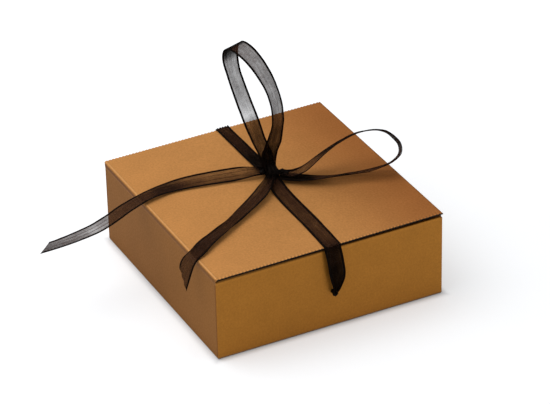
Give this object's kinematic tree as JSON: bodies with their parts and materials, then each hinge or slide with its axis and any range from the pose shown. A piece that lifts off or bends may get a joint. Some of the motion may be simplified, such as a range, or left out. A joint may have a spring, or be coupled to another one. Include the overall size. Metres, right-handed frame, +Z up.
{
  "type": "gift box",
  "caption": "Shallow corrugated gift box with a hinged tuck-in lid, rolled double side walls and a sheer ribbon bow tied over the lid.",
  "frame": {"origin": "centre of the box's underside, on the surface that it stands on", "axes": "+Z up; the lid hinges along the -X edge and tucks in behind the +X wall; the ribbons come out of the double side walls at -Y and +Y"},
  "size_m": [0.302, 0.2182, 0.186],
  "materials": {
    "metallic_liner": "metallic copper-gold paper liner, finely brushed, satin",
    "wall_liner": "the same metallic liner on the walls, seen darker",
    "inner_board": "the same liner inside, satin",
    "ribbon": "sheer black organza with woven dark edges"
  },
  "bodies": {
    "box": {"bottom_panel": "inner_board", "back_wall": "wall_liner", "front_wall": "wall_liner", "outer_side_wall_near": "wall_liner", "outer_side_wall_far": "wall_liner", "roll_over_near": "metallic_liner", "roll_over_far": "metallic_liner", "inner_side_wall_near": "wall_liner", "inner_side_wall_far": "wall_liner", "back_corner_flap_near": "inner_board", "back_corner_flap_far": "inner_board", "front_corner_flap_near": "inner_board", "front_corner_flap_far": "inner_board", "stop_knot_near": "ribbon", "stop_knot_far": "ribbon"},
    "lid": {"lid_panel": "metallic_liner"},
    "tuck_flap": {"tuck_flap": "inner_board"},
    "ribbon": {"gather_near": "ribbon", "gather_far": "ribbon", "strap_near": "ribbon", "strap_far": "ribbon", "bow_knot": "ribbon", "upright_loop": "ribbon", "side_loop": "ribbon", "long_tail": "ribbon", "short_tail": "ribbon"}
  },
  "joints": [
    {"name": "lid_hinge", "type": "hinge", "parent": "box", "child": "lid", "pos_m": [-0.1, 0, 0.0724], "axis": [0, -1, 0], "range_deg": [0, 110]},
    {"name": "tuck_crease", "type": "hinge", "parent": "lid", "child": "tuck_flap", "pos_m": [0.0972, 0, 0.07366], "axis": [0, -1, 0], "range_deg": [0, 39]},
    {"name": "ribbon_lift", "type": "slide", "parent": "box", "child": "ribbon", "axis": [0, 0, 1], "range_m": [0, 0.4]}
  ],
  "couplings": [
    {"joint": "tuck_crease", "follows": "lid_hinge", "ratio": 0.35},
    {"joint": "ribbon_lift", "follows": "lid_hinge", "m_per_rad": 0.205}
  ]
}
